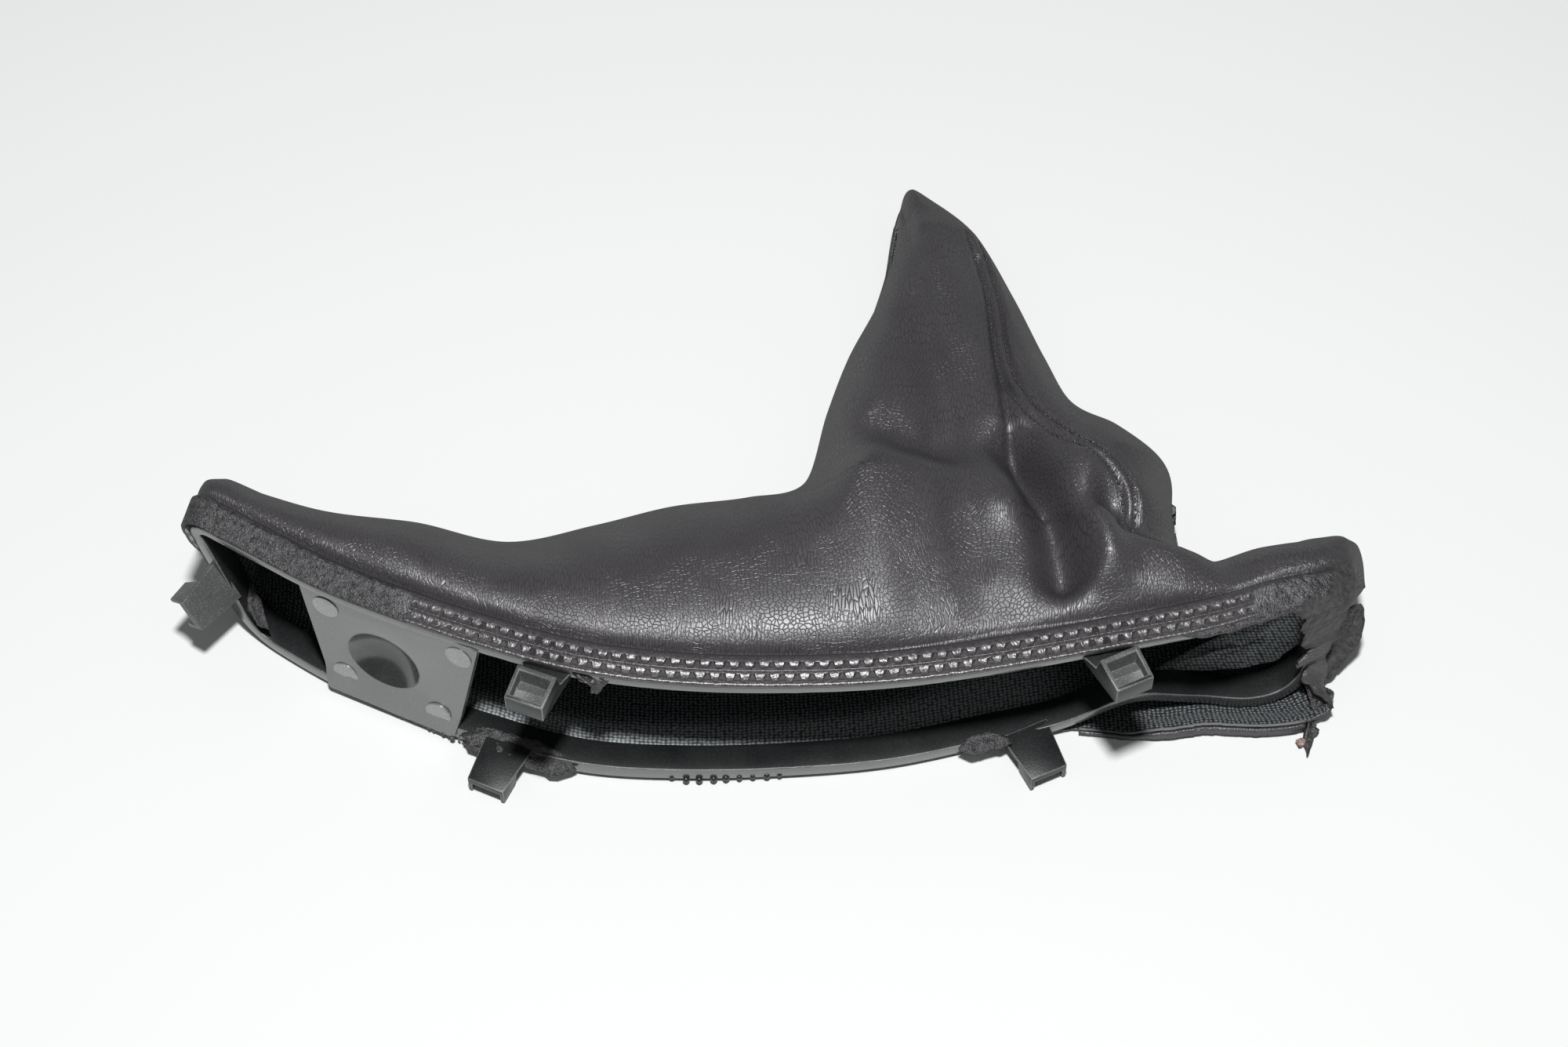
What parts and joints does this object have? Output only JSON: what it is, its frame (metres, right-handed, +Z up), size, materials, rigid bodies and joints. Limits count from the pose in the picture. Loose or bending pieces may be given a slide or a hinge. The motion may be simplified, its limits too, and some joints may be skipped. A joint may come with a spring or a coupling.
{
  "type": "handbrake lever cover",
  "caption": "Long arched clip-in carrier frame with a soft leatherette gaiter welded round it, which narrows to a sleeve with an open mouth for the lever; worn, lying on its side",
  "frame": {"origin": "middle of the bounding box in plan, on the table under the part", "axes": "+X along the frame towards its torn end, +Y from the clips into the gaiter and its sleeve, +Z up from the table; the frame stands on its long edge"},
  "size_m": [0.3428, 0.2114, 0.0642],
  "materials": {
    "moulded_plastic": "injection moulded, satin to dull, scuffed at its edges",
    "leatherette": "grained black leatherette on a knitted fabric backing"
  },
  "bodies": {
    "root": {"carrier_frame": "moulded_plastic", "gaiter": "leatherette"}
  },
  "joints": []
}
